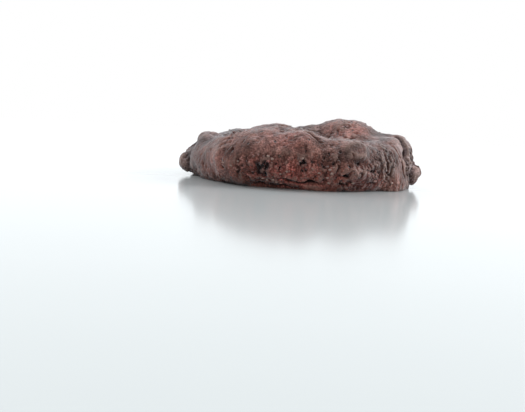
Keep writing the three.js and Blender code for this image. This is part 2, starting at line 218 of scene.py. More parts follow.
# Patches of colour and of painted light and shade: middle, half widths, and how much redder
# and brighter. The brighter ones at both ends, the shoulders and the rear lump are painted
# light, and the greyer ends a painted sheen; the darker ones in the front's cavity and on its
# lobe faces are painted shade. The redder ones are the dough's own tone.
PATCHES_OF_LIGHT_AND_COLOUR = [
    ((11.5, -5, 14), (11, 9, 5), 0.75, 1.3),
    ((-3, -26, 11), (10, 6, 5), 0.35, 0.2),
    ((-8, -28, 4), (9, 9, 5), 0.6, 0.3),
    ((2, -29, 3), (14, 8, 7), 0.7, 0.7),
    ((-8.6, -29, 4.4), (3.0, 5, 3.0), 0.2, -1.1),
    ((-12.3, -29, 4.4), (2.6, 5, 2.4), 0.0, -0.4),
    ((-6.6, -28, 1.8), (3.6, 5, 1.1), -0.5, 0.9),
    ((8, -29, 8), (5, 8, 5), -0.3, -0.1),
    ((13, -27, 9.3), (4.8, 8, 3.4), 0.0, -1.15),
    ((20, -22, 7), (8, 9, 6), -0.2, -0.85),
    ((17, -25, 3), (10, 9, 5), 0.75, -0.35),
    ((-30, -4, 3.5), (5, 7, 5), -1.2, 0.9),
    ((30, -6, 4), (5, 7, 5), -1.3, 1.0),
    ((-19, -25, 4), (9, 9, 5), 0.3, 0.0),
    ((23, -12, 12), (8, 9, 5), -0.3, 0.6),
    ((-24, -8, 12), (8, 9, 5), 0.0, 0.4),
    ((28, -6, 9), (6, 9, 6), -1.2, 1.0),
    ((-25, -6, 10), (8, 12, 7), -1.2, 0.6),
]

# Crumbs stuck to the surface: share of the points with one where the dough is crumbliest,
# least and greatest radius, the corners' distances, squashing, and height over the surface.
CRUMB_SHARE = 0.065
CRUMB_SIZE = (0.14, 0.45)
CRUMB_CORNERS = (0.5, 0.9)
CRUMB_SQUASH = (1.0, 0.85, 0.75)
CRUMB_LIFT = 0.2
CRUMB_HOLLOW = (0.15, -0.5)
CRUMB_SALT = 131
CORNER_SALT = 132

# There are none below the lowest, and fewer from FEWER_CRUMBS_FROM up to twice as high.
LOWEST_CRUMB = 0.7
FEWER_CRUMBS_FROM = 7
FEWER_CRUMBS_BY = 0.6

# Pale crumbs placed on the front of the side: X, Z and radius. Their hollow value is far
# below 0, which makes them pale.
PALE_CRUMBS = [
    (0.7, 7.5, 0.42),
    (0.1, 6.7, 0.34),
    (-0.5, 12.9, 0.40),
    (-1.4, 12.3, 0.30),
    (7.1, 5.3, 0.42),
    (7.5, 4.2, 0.38),
    (7.9, 5.8, 0.34),
    (6.6, 3.4, 0.30),
    (7.1, 2.1, 0.45),
    (12.6, 2.3, 0.45),
    (10.0, 2.6, 0.34),
    (-17.6, 5.2, 0.36),
    (-15.7, 4.6, 0.34),
    (-14.4, 5.9, 0.36),
    (-7.3, 7.4, 0.36),
    (-6.2, 6.9, 0.40),
    (-8.3, 2.4, 0.42),
    (-7.1, 1.9, 0.46),
    (-5.9, 2.3, 0.40),
    (-4.9, 1.7, 0.36),
    (-4.0, 3.6, 0.34),
    (-2.8, 4.4, 0.38),
    (4.6, 4.4, 0.34),
    (17.9, 6.6, 0.36),
    (20.2, 3.9, 0.38),
    (22.6, 2.2, 0.36),
]
PALE_CRUMB_HOLLOW = -0.45

# Patterns of cracks: size of the plates between them, half width of a crack, how far the
# plates are bent out of shape, and the salt that gives the pattern its own random draws.
PLATE_CRACKS = {"cell": 12.5, "half": 1.1, "warp": 2.0, "salt": 20}
FINE_CRACKS = {"cell": 4.6, "half": 0.3, "warp": 0.9, "salt": 70}
HAIR_CRACKS = {"cell": 2.1, "half": 0.25, "warp": 0.5, "salt": 80}

# Where the cracks are open: the cell and salt of smooth noise.
OPEN_PLATE_CRACKS = (11, 43)
OPEN_FINE_CRACKS = (6, 44)
OPEN_HAIR_CRACKS = (4, 45)

# How other patterns are bent out of shape: reach, cell and salt.
HOLE_WARP = (0.8, 1.2, 60)
PIT_WARP = (0.7, 1.6, 65)
FINE_WARP = (0.35, 0.9, 90)

# Sums of smooth noise: cell, height and salt.
SWELL_WAVES = [(9, 0.8, 31), (3.6, 0.4, 32)]
ROUGH_WAVES = [(8, 0.95, 41), (3.5, 0.4, 42)]
RED_WAVES = [(7, 0.25, 47), (3, 0.15, 48)]
BRIGHT_WAVES = [(5, 0.2, 49)]

# Relief that the solid has too. A pair of depths or heights, here and below, is the value
# on smooth dough, and how much more it is where the dough is crumbly.
PLATE_PUFF = 0.8
CRUMB_CELL = 2.9
CRUMB_HEIGHT = 0.42
PIT_CELL = 4.6
PIT_LUCK = 0.45
PIT_RADIUS = (0.10, 0.14)
PIT_DEPTH = (0.25, 0.5)

# Relief too fine for the solid. A stretch is along X, Y and Z, and GRAINS are cell, height,
# how much higher, and salt.
FINE_CRACK_DEPTH = (0.3, 0.4)
HAIR_CRACK_DEPTH = (0.04, 0.24)
FINE_CRUMB_CELLS = (1.25, 0.75)
FINE_CRUMB_HEIGHTS = (0.32, 0.34)
FINE_CRUMB_STRETCH = [1, 1, 0.6]
PORE_CELL = 1.4
PORE_STRETCH = [1, 1, 0.4]
PORE_LUCK = (0.83, -0.62)
PORE_DEPTH = (0.25, 0.75)
PORE_RADIUS = (0.12, 0.2)
STREAK_CELL = 1.3
STREAK_HEIGHT = (0.03, 0.16)
RELIEF_STRETCH = [1, 1, 0.3]
GRAINS = [(1.0, 0.07, 0.11, 53), (0.65, 0.07, 0.12, 54)]

# The surface's hollow layer is its depth under its smoothed self; its deep parts are painted
# as shade. It isn't below this least value, so that only loose crumbs are quite pale.
SMOOTHING_TIMES = 14
LEAST_HOLLOW = -0.19

# The dough out of the photo's sight is browner and darker. It changes from this Y back,
# over this length.
# The darkening is painted shade that tempers the strong light from behind; the browner hue is the
# dough's own.
HIDDEN_FROM = -22
HIDDEN_OVER = 17
HIDDEN_BROWNING_AND_SHADING = {"red": -0.5, "bright": -0.6}

# The material's patterns: cells a metre, and the noises' detail.
BROWN_NOISE = (150, 5)
STREAK_NOISE = (480, 3)
STREAK_STRETCH = (1, 1, 0.25)
SPECK_NOISE = (2600, 3)
SPECK_SHARE = 0.9
RELIEF_NOISE = (3000, 5)
GLOSS_NOISE = (900, 2)
STIR_NOISE = (1300, 2)
STIR_REACH = 0.0011
CRUMB_PATTERN = 1150
GRAIN_PATTERN = 2500
PORE_PATTERN = 800

# Ranges that the material stretches to 0 to 1.
PORE_OFTEN = (0.62, 0.70)
PORE_EDGE = (-0.02, 0.10)
PORE_WIDTH = 0.34
PALE_BULGES = (-0.05, -0.45)
# From the first depth to the second, hollows are painted darker, as shade.
SHADING_IN_HOLLOWS = (0.08, 0.6)
ROUGH_COLOUR = (-0.35, 0.9)
ROUGH_BUMP = (-0.15, 1.0)

# The dough's colours: ramps of places from 0 to 1 and the colour there. All but BROWN
# multiply the colour under them.
BROWN = [
    (0.34, (0.097, 0.042, 0.034)),
    (0.50, (0.135, 0.063, 0.052)),
    (0.66, (0.177, 0.092, 0.078)),
]
# Redness: the low end greys the dough, which at the ends and shoulders is a painted sheen; the
# high end is the dough's redder tone.
SHEEN_GREY_AND_RED = [
    (0.0, (0.86, 1.28, 1.52)),
    (0.5, (1.00, 1.00, 1.00)),
    (1.0, (1.20, 0.82, 0.85)),
]
# Brightness: random tone, and painted light and shade by region.
LIGHT_AND_SHADING_TONE = [
    (0.0, (0.45, 0.45, 0.45)),
    (0.5, (1.00, 1.00, 1.00)),
    (1.0, (1.55, 1.55, 1.55)),
]
STREAKS = [
    (0.40, (0.66, 0.65, 0.63)),
    (0.50, (1.00, 1.00, 1.00)),
    (0.60, (1.38, 1.34, 1.30)),
]
SPECKS = [
    (0.36, (0.55, 0.51, 0.50)),
    (0.50, (1.00, 1.00, 1.00)),
    (0.62, (1.60, 1.62, 1.62)),
]
# Up the side: redder and darker at the foot, partly a baked edge and partly painted shade, and
# greyer at the top, a painted sheen.
FOOT_SHADING_TOP_SHEEN = [
    (0.0, (1.06, 0.90, 0.83)),
    (0.7, (1.00, 1.00, 1.00)),
    (1.0, (1.00, 1.06, 1.10)),
]
FOOT_SHADING_TOP_SHEEN_HEIGHT = 0.014
# Each grain's own tone. The brightest are pale specks of sugar and flour, partly painted glints of
# facets that catch the light.
GRAIN_TONE = [
    (0.0, (0.70, 0.66, 0.64)),
    (0.6, (1.00, 1.00, 1.00)),
    (0.9, (1.40, 1.52, 1.62)),
    (1.0, (2.50, 3.00, 3.40)),
]
# Darker towards the edges of grains and crumbs: painted shade in the creases between them.
EDGE_SHADING_OF_GRAINS = [
    (0.25, (1.10, 1.10, 1.10)),
    (0.75, (0.70, 0.66, 0.64)),
]
EDGE_SHADING_OF_CRUMBS = [
    (0.30, (1.08, 1.08, 1.08)),
    (0.80, (0.74, 0.69, 0.67)),
]
# Painted shade in the pinholes.
PORE_SHADING_COLOUR = (0.022, 0.008, 0.007, 1)
PALE_COLOUR = (0.35, 0.235, 0.2, 1)
# Painted shade in the deep hollows.
HOLLOW_SHADING_COLOUR = (0.016, 0.005, 0.005, 1)

# The rest of the dough's shader.
DOUGH_SHADER = {
    "Specular IOR Level": 0.22,
    "Sheen Weight": 0.42,
    "Sheen Roughness": 0.32,
    "Sheen Tint": (0.85, 0.95, 1.0, 1),
}
GLOSS_RANGE = (0.6, 0.9)
CRUMB_BUMP = 0.7
GRAIN_BUMP = 0.4
NOISE_BUMP = 0.9
BUMP_STRENGTH = 0.85
BUMP_DISTANCE = 0.0004

# The camera that took the photo, worked out from the outlines in it.
PHOTO_WIDTH, PHOTO_HEIGHT = 525, 412
FOCAL_PIXELS = 750
CAMERA_DISTANCE = 0.200
CAMERA_HEIGHT = 0.0175
CAMERA_ROLL = math.radians(3.3)
BISCUIT_PIXEL = (300, 151.5)
BISCUIT_MIDDLE_HEIGHT = 0.0075
SENSOR_WIDTH = 36
NEAREST_SEEN = 0.005

# Floor and light. The floor fades to white between two distances from the biscuit's middle.
FLOOR_SIZE = 8.0
FLOOR_COLOUR = (0.40, 0.425, 0.43)
FLOOR_ROUGHNESS = 0.14
FLOOR_FADE = (0.15, 0.50)
SKY_DIRECTION = (0, 0.87, 0.5)
SKY_EDGE = (-0.7, 0.8)
SKY_STRENGTH = (0.32, 1.35)
SKY_COLOUR = (0.95, 0.98, 1.0, 1)
WHITE = (1, 1, 1, 1)

# Lights: name, place, width, power and colour.
LIGHTS = [
    ("window_right", (0.66, 0.16, 0.34), 0.35, 7.5, (1.0, 1.0, 1.0)),
    ("window_left", (-0.6, 0.3, 0.4), 0.35, 2.6, (1.0, 1.0, 1.0)),
    ("front_fill", (-0.15, -0.7, 0.5), 0.25, 1.6, (1.0, 0.97, 0.94)),
]


def clamp(value):
    return np.clip(value, 0.0, 1.0)


def ease(value):
    t = clamp(value)
    return t * t * (3 - 2 * t)


def rising(pair, share):
    """The pair's first value where the share is 0, and its second more where it is 1."""
    return pair[0] + pair[1] * share


def cell_random(ix, iy, iz, salt):
    """A repeatable number from 0 to 1 for one cell of a grid, as in the solid's source."""
    def wrap(value):
        return (np.atleast_1d(np.asarray(value, np.int64)) & 0xFFFFFFFF).astype(np.uint32)

    h = wrap(ix) * np.uint32(0x27D4EB2D) ^ wrap(iy) * np.uint32(0x165667B1)
    h = h ^ wrap(iz) * np.uint32(0x9E3779B1)
    h = h ^ wrap(np.int64(salt) * 0x85EBCA6B)
    h = (h ^ (h >> np.uint32(15))) * np.uint32(0x2C1B3C6D)
    h = (h ^ (h >> np.uint32(12))) * np.uint32(0x297A2D39)
    return (h ^ (h >> np.uint32(15))) / 4294967296.0


def waves(points, cell, salt):
    """Smooth noise from about -1 to 1, with bumps about two cells across."""
    full_swing = 1.6
    scaled = points / cell
    low = np.floor(scaled).astype(np.int64)
    part = scaled - low
    eased = part**3 * (part * (part * 6 - 15) + 10)
    total = np.zeros(len(points))
    for corner in range(8):
        step = np.array([corner & 1, (corner >> 1) & 1, (corner >> 2) & 1])
        at = low + step
        weight = np.prod(np.where(step, eased, 1 - eased), axis=1)
        slope = np.zeros(len(points))
        for axis in range(3):
            lean = 2 * cell_random(at[:, 0], at[:, 1], at[:, 2], salt * 3 + axis) - 1
            slope += lean * (part[:, axis] - step[axis])
        total += weight * slope
    return total * full_swing


def wave_sum(points, rows):
    return sum(height * waves(points, cell, salt) for cell, height, salt in rows)


def warped(points, reach, cell, salt):
    """The points pushed about by smooth noise."""
    return points + reach * np.stack([waves(points, cell, salt + axis) for axis in range(3)], 1)


def scatter(points, cell, salt):
    """Distances to the nearest two scattered points, in cells, and the nearest one's luck."""
    scaled = points / cell
    low = np.floor(scaled).astype(np.int64)
    first = np.full(len(points), 9.0)
    second = first.copy()
    luck = np.zeros(len(points))
    for corner in range(27):
        at = low + np.array([corner % 3 - 1, corner // 3 % 3 - 1, corner // 9 - 1])
        cells = (at[:, 0], at[:, 1], at[:, 2])
        gap = np.stack([cell_random(*cells, salt * 5 + axis) for axis in range(3)], 1)
        distance = np.linalg.norm(at + gap - scaled, axis=1)
        nearer = distance < first
        second = np.where(nearer, first, np.minimum(second, distance))
        first = np.where(nearer, distance, first)
        luck = np.where(nearer, cell_random(*cells, salt * 5 + 4), luck)
    return first, second, luck


def away_from(points, at, half):
    """Distance from the middle of a lump or patch, in its half widths."""
    return np.linalg.norm((points - at) / half, axis=1)


def rim_at(angle):
    """The shoulder's height and reach at each angle, blended between the stations."""
    degrees = np.degrees(angle)
    total = np.zeros(len(degrees))
    height = total.copy()
    reach = total.copy()
    for at, station_height, station_reach in RIM:
        away = np.abs((degrees - at + 180) % 360 - 180)
        weight = ease(1 - away / RIM_REACH)
        total += weight
        height += weight * station_height
        reach += weight * station_reach
    return height / total, reach / total


def profile_at(section, share, rim_height, rim_reach):
    """Radius and height of a point of the foot (0), the shoulder (1) or the crown (2)."""
    if section == 0:
        turn = -math.asin(WIDEST_HEIGHT / FOOT_DROP) * (1 - share)
        radius = BODY_RADIUS - FOOT_ROUND * (1 - np.cos(turn))
        return radius, WIDEST_HEIGHT + FOOT_DROP * np.sin(turn)
    if section == 1:
        turn = share * math.pi / 2
        power = 2 / SHOULDER_POWER
        radius = BODY_RADIUS - rim_reach * (1 - np.maximum(0, np.cos(turn)) ** power)
        return radius, WIDEST_HEIGHT + (rim_height - WIDEST_HEIGHT) * np.sin(turn) ** power
    radius = (BODY_RADIUS - rim_reach) * (1 - share)
    return radius, rim_height + (CROWN_HEIGHT - rim_height) * ease(share)


def profile(step):
    """Section, share and run of points evenly spaced from the foot's edge to the top."""
    fine = 400
    rim_height = sum(station[1] for station in RIM) / len(RIM)
    rim_reach = sum(station[2] for station in RIM) / len(RIM)
    share = np.arange(fine + 1) / fine
    parts = [profile_at(k, share[min(k, 1):], rim_height, rim_reach) for k in range(3)]
    dense = np.concatenate([np.stack(part, 1) for part in parts])
    steps = np.linalg.norm(np.diff(dense, axis=0), axis=1)
    lengths = np.concatenate([[0], np.cumsum(steps)])
    count = round(lengths[-1] / step)
    target = lengths[-1] * np.arange(count + 1) / count
    whole = np.interp(target, lengths, np.arange(3 * fine + 1) / fine)
    section = np.minimum(2, whole.astype(int))
    return section, whole - section, target - lengths[fine]


def outline_at(angle):
    out = sum(h * np.cos(n * (angle - math.radians(turn))) for n, h, turn in OUTLINE_WAVES)
    return 1 + out / BODY_RADIUS


def mounds_at(points):
    total = np.zeros(len(points))
    for at, half, out, steep in MOUNDS:
        total += out * ease(steep * (1 - away_from(points, at, half)))
    for at, half, out in KNOBS:
        total += out * np.sqrt(clamp(1 - away_from(points, at, half) ** 2))
    return total


def edge_splits():
    """Splits round the rim, at even steps but each a little aside, longer or deeper."""
    index = np.arange(EDGE_SPLITS)
    chances = (cell_random(index, n, 7, EDGE_SPLIT_SALT) for n in range(6))
    aside, high, long, lean, wide, deep = chances
    angle = -180 + 360 * (index + EDGE_SPLIT_ASIDE * aside) / EDGE_SPLITS
    top = rising(EDGE_SPLIT_TOP, high)
    bottom = np.maximum(EDGE_SPLIT_LOWEST, top - rising(EDGE_SPLIT_LENGTH, long))
    top_angle = angle + EDGE_SPLIT_LEAN * (lean - 0.5)
    half = rising(EDGE_SPLIT_HALF, wide)
    depth = rising(EDGE_SPLIT_DEPTH, deep**2)
    kept = np.flatnonzero((angle <= UNSPLIT_FRONT[0]) | (angle >= UNSPLIT_FRONT[1]))
    return [((top_angle[k], top[k]), (angle[k], bottom[k]), half[k], depth[k]) for k in kept]


def splits_at(points, angle, radius, run, splits, narrow=1.0):
    """Depth of the splits, each a wavering line from one angle and run to another."""
    across = SPLIT_WAVER * waves(points, SPLIT_WAVER_CELL, 11)
    along = SPLIT_WAVER * waves(points, SPLIT_WAVER_CELL, 12)
    deepest = np.zeros(len(points))
    for start, end, half, deep in splits:
        middle = math.radians((start[0] + end[0]) / 2)
        turn = np.arctan2(np.sin(angle - middle), np.cos(angle - middle))
        x = turn * radius + across
        y = run + along
        start_x = math.radians(start[0] - end[0]) / 2 * radius
        dx = -2 * start_x
        dy = end[1] - start[1]
        long = np.hypot(dx, dy)
        share = clamp(((x - start_x) * dx + (y - start[1]) * dy) / (long * long))
        gap = np.hypot(x - start_x - share * dx, y - start[1] - share * dy)
        near_end = np.minimum(share, 1 - share) * long
        taper = 0.35 + 0.65 * ease(near_end / SPLIT_TAPER)
        deepest = np.maximum(deepest, deep * taper * ease(1 - gap / (half * narrow)))
    return deepest


def holes_at(points):
    """Depth of the holes placed on the side and the top."""
    bent = warped(points, *HOLE_WARP)
    uneven = 0.85 + 0.5 * waves(points, 1.1, 64)
    deepest = np.zeros(len(points))
    side = (SIDE_HOLES, 2, points[:, 1] < FRONT_OF_SIDE)
    top = (TOP_HOLES, 1, points[:, 2] > LOWEST_TOP)
    for holes, second, here in (side, top):
        for x, other, half_x, half_other, deep in holes:
            away = np.hypot((bent[:, 0] - x) / half_x, (bent[:, second] - other) / half_other)
            deepest = np.maximum(deepest, here * deep * ease(1.35 * (1 - away)))
    return deepest * uneven


def roughness_at(points, top_share):
    """0 where the dough has a smooth skin, 1 where it is crumbly."""
    rough = 0.62 - 0.42 * top_share + wave_sum(points, ROUGH_WAVES)
    for at, half, amount in ROUGH_PATCHES:
        rough += amount * ease(1.3 * (1 - away_from(points, at, half)))
    return ease(rough)


def colour_at(points):
    """Redness and brightness, each from -1 to 1, which carry painted light, shade and sheen by
    region.
    """
    red = wave_sum(points, RED_WAVES)
    bright = wave_sum(points, BRIGHT_WAVES)
    hidden = ease((points[:, 1] - HIDDEN_FROM) / HIDDEN_OVER)
    red += HIDDEN_BROWNING_AND_SHADING["red"] * hidden
    bright += HIDDEN_BROWNING_AND_SHADING["bright"] * hidden
    # Each patch adds its redness and its painted light and shade.
    for at, half, more_red, brighter in PATCHES_OF_LIGHT_AND_COLOUR:
        near = ease(1.4 * (1 - away_from(points, at, half)))
        red += more_red * near
        bright += brighter * near
    return {"red": np.clip(red, -1, 1), "bright": np.clip(bright, -1, 1)}


def cracks_at(points, cell, half, warp, salt):
    """1 in the middle of a crack and 0 away from it, and how far the plate's middle is."""
    first, second, _ = scatter(warped(points, warp, warp * 2.6, salt), cell, salt)
    return ease(1 - (second - first) * cell / (2 * half)), first


def plates_at(points, top_share, rough):
    """Height of the puffed plates of the top, less the open cracks between them."""
    crack, first = cracks_at(points, **PLATE_CRACKS)
    on_top = 0.1 + 0.9 * ease(2.5 * top_share - 1.5)
    open_crack = ease(0.35 + 1.3 * waves(points, *OPEN_PLATE_CRACKS)) * on_top
    open_crack *= 0.3 + 0.7 * clamp(2 * rough)
    puff = PLATE_PUFF * (0.5 - clamp(first) ** 2) * (0.45 + 0.55 * top_share)
    return puff - open_crack * crack


def texture_at(points, top_share, rough):
    """The relief that the solid has too: plates, swells, crumbs and pits."""
    plates = plates_at(points, top_share, rough)
    swells = wave_sum(points, SWELL_WAVES)
    crumb, _, _ = scatter(points, CRUMB_CELL, 5)
    crumbs = rough * CRUMB_HEIGHT * (0.45 - crumb)
    pit, _, luck = scatter(warped(points, *PIT_WARP), PIT_CELL, 6)
    inside = ease(1.3 - 1.3 * pit / rising(PIT_RADIUS, luck))
    pits = np.where(luck > PIT_LUCK, inside, 0)
    return plates + swells + crumbs - rising(PIT_DEPTH, rough) * pits


def fine_cracks(points, rough):
    """Depth of the cracks and hairlines that are too fine for the solid."""
    crack, _ = cracks_at(points, **FINE_CRACKS)
    crack *= ease(1.9 * waves(points, *OPEN_FINE_CRACKS)) * (0.3 + 0.7 * rough)
    hair, _ = cracks_at(points, **HAIR_CRACKS)
    hair *= ease(0.1 + 1.9 * waves(points, *OPEN_HAIR_CRACKS))
    return rising(FINE_CRACK_DEPTH, rough) * crack + rising(HAIR_CRACK_DEPTH, rough) * hair


def fine_crumbs(bent, rough):
    """Crumbs of two sizes, a little taller than wide, less the pores between them."""
    large_cell, small_cell = FINE_CRUMB_CELLS
    large_height, small_height = FINE_CRUMB_HEIGHTS
    tall = bent * FINE_CRUMB_STRETCH
    large, _, luck = scatter(tall, large_cell, 51)
    small, _, small_luck = scatter(tall, small_cell, 52)
    crumbs = large_height * luck * (0.6 - large)
    crumbs += small_height * (0.3 + small_luck) * (0.55 - small)
    pore, _, luck = scatter(bent * PORE_STRETCH, PORE_CELL, 55)
    inside = ease(1.6 - 1.6 * pore / rising(PORE_RADIUS, luck))
    lucky = luck > rising(PORE_LUCK, rough)
    return rough * crumbs - np.where(lucky, rising(PORE_DEPTH, rough) * inside, 0)


def fine_relief(points, rough, top_share):
    """What is too small for the solid's faces: crumbs, pores, streaks, grain and cracks."""
    bent = warped(points, *FINE_WARP)
    streaks = rising(STREAK_HEIGHT, rough) * waves(points * RELIEF_STRETCH, STREAK_CELL, 56)
    streaks *= 1 - 0.8 * top_share
    grain = sum(
        rising((height, more), rough) * waves(points, cell, salt)
        for cell, height, more, salt in GRAINS
    )
    return fine_crumbs(bent, rough) + streaks + grain - fine_cracks(points, rough)


def ring_shares(radius, row, step):
    """Share of a turn of each point of a ring; every second ring starts half a step on."""
    count = max(6, round(2 * math.pi * radius / step))
    return (np.arange(count) + row % 2 / 2) / count


def angle_of(along):
    return 2 * math.pi * along - math.pi


def ring_spots(along, radius, height, run):
    """The points of one ring, and where on the surface each is."""
    angle = angle_of(along)
    reach = radius * outline_at(angle)
    zero = np.zeros(len(along))
    return {
        "place": np.stack([reach * np.cos(angle), reach * np.sin(angle), height + zero], 1),
        "angle": angle,
        "radius": radius + zero,
        "run": run + zero,
        "along": along,
    }


def surface_rings():
    """All rings, from near the middle of the underside to near the middle of the top."""
    section, share, run = profile(GRID_STEP)
    edge = float(profile_at(0, 0.0, 0, 0)[0])
    foot_rows = round(edge / FOOT_STEP)
    rings = []
    for k in range(1, foot_rows):
        radius = edge * k / foot_rows
        rings.append(ring_spots(ring_shares(radius, k, FOOT_STEP), radius, 0.0, UNDERSIDE_RUN))
    mean_reach = sum(station[2] for station in RIM) / len(RIM)
    for row in range(len(run) - 1):
        mean_radius = float(profile_at(section[row], share[row], CROWN_HEIGHT, mean_reach)[0])
        along = ring_shares(mean_radius, row, GRID_STEP)
        radius, height = profile_at(section[row], share[row], *rim_at(angle_of(along)))
        rings.append(ring_spots(along, radius, height, run[row]))
    return rings


def stitch(lower, upper, lower_start, upper_start):
    """Triangles between two rings that may have different numbers of points."""
    n, m = len(lower), len(upper)
    lower = np.append(lower, lower[0] + 1)
    upper = np.append(upper, upper[0] + 1)
    faces = []
    i = j = 0
    while i < n or j < m:
        a, b = lower_start + i % n, upper_start + j % m
        if j >= m or (i < n and lower[i + 1] <= upper[j + 1]):
            faces.append((a, lower_start + (i + 1) % n, b))
            i += 1
        else:
            faces.append((a, upper_start + (j + 1) % m, b))
            j += 1
    return faces


def surface_grid():
    """The points of the rings and the middles of the underside and the top, and the faces."""
    rings = surface_rings()
    counts = [len(ring["along"]) for ring in rings]
    starts = np.concatenate([[0], np.cumsum(counts)])
    faces = []
    for row in range(len(rings) - 1):
        faces += stitch(rings[row]["along"], rings[row + 1]["along"], starts[row], starts[row + 1])
    total = int(starts[-1])
    first, last = counts[0], counts[-1]
    faces += [(total, (i + 1) % first, i) for i in range(first)]
    faces += [(starts[-2] + i, starts[-2] + (i + 1) % last, total + 1) for i in range(last)]
    middles = {
        "place": np.array([[0, 0, 0], [0, 0, CROWN_HEIGHT]], float),
        "angle": np.zeros(2),
        "radius": np.zeros(2),
        "run": np.array([UNDERSIDE_RUN, TOP_RUN]),
    }
    spots = {k: np.concatenate([*(ring[k] for ring in rings), middles[k]]) for k in middles}
    return spots, np.array(faces, np.int64)


def vertex_normals(points, faces):
    a, b, c = (points[faces[:, k]] for k in range(3))
    face = np.cross(b - a, c - a)
    normals = np.zeros_like(points)
    for k in range(3):
        for axis in range(3):
            normals[:, axis] += np.bincount(faces[:, k], face[:, axis], len(points))
    return normals / np.maximum(1e-12, np.linalg.norm(normals, axis=1, keepdims=True))


def smoothed(values, faces, times):
    """Values averaged with those of the neighbouring points, a number of times."""
    pairs = np.concatenate([faces[:, [0, 1]], faces[:, [1, 2]], faces[:, [2, 0]]])
    ends = np.concatenate([pairs, pairs[:, ::-1]])
    weight = np.bincount(ends[:, 0], minlength=len(values))
    for _ in range(times):
        values = np.bincount(ends[:, 0], values[ends[:, 1]], len(values)) / weight
    return values


def biscuit_form():
    """Points and faces of the baked dough, how hollow each point is and how crumbly."""
    spots, faces = surface_grid()
    place = spots["place"]
    top_share = ease((place[:, 2] - WIDEST_HEIGHT) / (CROWN_HEIGHT - 1 - WIDEST_HEIGHT))
    rough = roughness_at(place, top_share)
    surface = (place, spots["angle"], spots["radius"], spots["run"])
    all_splits = SPLITS + edge_splits()
    split = splits_at(*surface, all_splits)
    core = splits_at(*surface, all_splits, narrow=SPLIT_CORE_WIDTH)
    hole = holes_at(place)
    lift = mounds_at(place) + texture_at(place, top_share, rough)
    lift += fine_relief(place, rough, top_share) - split - SPLIT_CORE_DEPTH * core - hole
    underside = spots["run"] == UNDERSIDE_RUN
    lift = np.where(underside, 0, lift)
    made = place + vertex_normals(place, faces) * lift[:, None]
    made[:, 2] = np.where(underside, 0, np.maximum(made[:, 2], 0))
    # Deep points of this layer are painted as shade; it also makes bulges pale.
    hollow = smoothed(lift, faces, SMOOTHING_TIMES) - lift + HOLE_SHADING * (hole + split)
    return made, faces, np.maximum(hollow, LEAST_HOLLOW), rough


def grain_shell():
    """Corners and triangles of a regular solid with twenty sides, of radius 1."""
    golden = (1 + math.sqrt(5)) / 2
    corners = []
    for a in (-1, 1):
        for b in (-golden, golden):
            corners += [(0, a, b), (a, b, 0), (b, 0, a)]
    corners = np.array(corners) / math.hypot(1, golden)
    longest = 1.1
    shell = []
    for i, j, k in combinations(range(len(corners)), 3):
        a, b, c = corners[[i, j, k]]
        if max(np.linalg.norm(side) for side in (b - a, c - b, a - c)) < longest:
            outward = np.dot(np.cross(b - a, c - a), a + b + c) > 0
            shell.append((i, j, k) if outward else (i, k, j))
    return corners, np.array(shell)


def crumb_spots(points, rough):
    """The points that have a crumb, each crumb's radius and how hollow, or pale, it looks."""
    index = np.arange(len(points))
    fewer = 1 - FEWER_CRUMBS_BY * ease(points[:, 2] / FEWER_CRUMBS_FROM - 1)
    crumbly = clamp(rough - 0.25) * (points[:, 2] > LOWEST_CRUMB) * fewer
    spots = np.flatnonzero(cell_random(index, 0, 3, CRUMB_SALT) < CRUMB_SHARE * crumbly)
    least, most = CRUMB_SIZE
    size = least + (most - least) * cell_random(spots, 1, 3, CRUMB_SALT) ** 3
    hollow = rising(CRUMB_HOLLOW, cell_random(spots, 4, 3, CRUMB_SALT) ** 2)
    front = np.flatnonzero(points[:, 1] < FRONT_OF_SIDE)
    places = points[front][:, [0, 2]]
    placed = [front[np.argmin(np.linalg.norm(places - at[:2], axis=1))] for at in PALE_CRUMBS]
    spots = np.append(spots, placed)
    size = np.append(size, [crumb[2] for crumb in PALE_CRUMBS])
    hollow = np.append(hollow, np.full(len(placed), PALE_CRUMB_HOLLOW))
    return spots, size, hollow


def loose_crumbs(points, normals, rough):
    """Small angular grains stuck to the crumbly parts: points, faces and hollowness."""
    spots, size, hollow = crumb_spots(points, rough)
    corners, shell = grain_shell()
    turn, tip = (2 * math.pi * cell_random(spots, n, 3, CRUMB_SALT) for n in (2, 3))
    made = np.zeros((len(spots), len(corners), 3))
    for n, corner in enumerate(corners):
        long = rising(CRUMB_CORNERS, cell_random(spots, n, 9, CORNER_SALT))
        x = corner[0] * np.cos(turn) - corner[1] * np.sin(turn)
        y = corner[0] * np.sin(turn) + corner[1] * np.cos(turn)
        z = corner[2] * np.cos(tip) - y * np.sin(tip)
        y = corner[2] * np.sin(tip) + y * np.cos(tip)
        made[:, n] = np.stack([x, y, z], 1) * CRUMB_SQUASH * (long * size)[:, None]
    middle = points[spots] + normals[spots] * (CRUMB_LIFT * size)[:, None]
    made += middle[:, None]
    starts = len(corners) * np.arange(len(spots))
    faces = (shell[None] + starts[:, None, None]).reshape(-1, 3)
    return made.reshape(-1, 3), faces, np.repeat(hollow, len(corners))


def mesh_object(name, points, faces, layers):
    """A smooth object from millimetre points, with a layer of numbers for each name."""
    mesh = bpy.data.meshes.new(name)
    mesh.from_pydata((points * MM).tolist(), [], faces.tolist())
    mesh.update()
    for key, values in layers.items():
        layer = mesh.attributes.new(key, "FLOAT", "POINT")
        layer.data.foreach_set("value", values.astype(np.float32))
    mesh.polygons.foreach_set("use_smooth", np.ones(len(faces), bool))
    made = bpy.data.objects.new(name, mesh)
    bpy.context.scene.collection.objects.link(made)
    return made


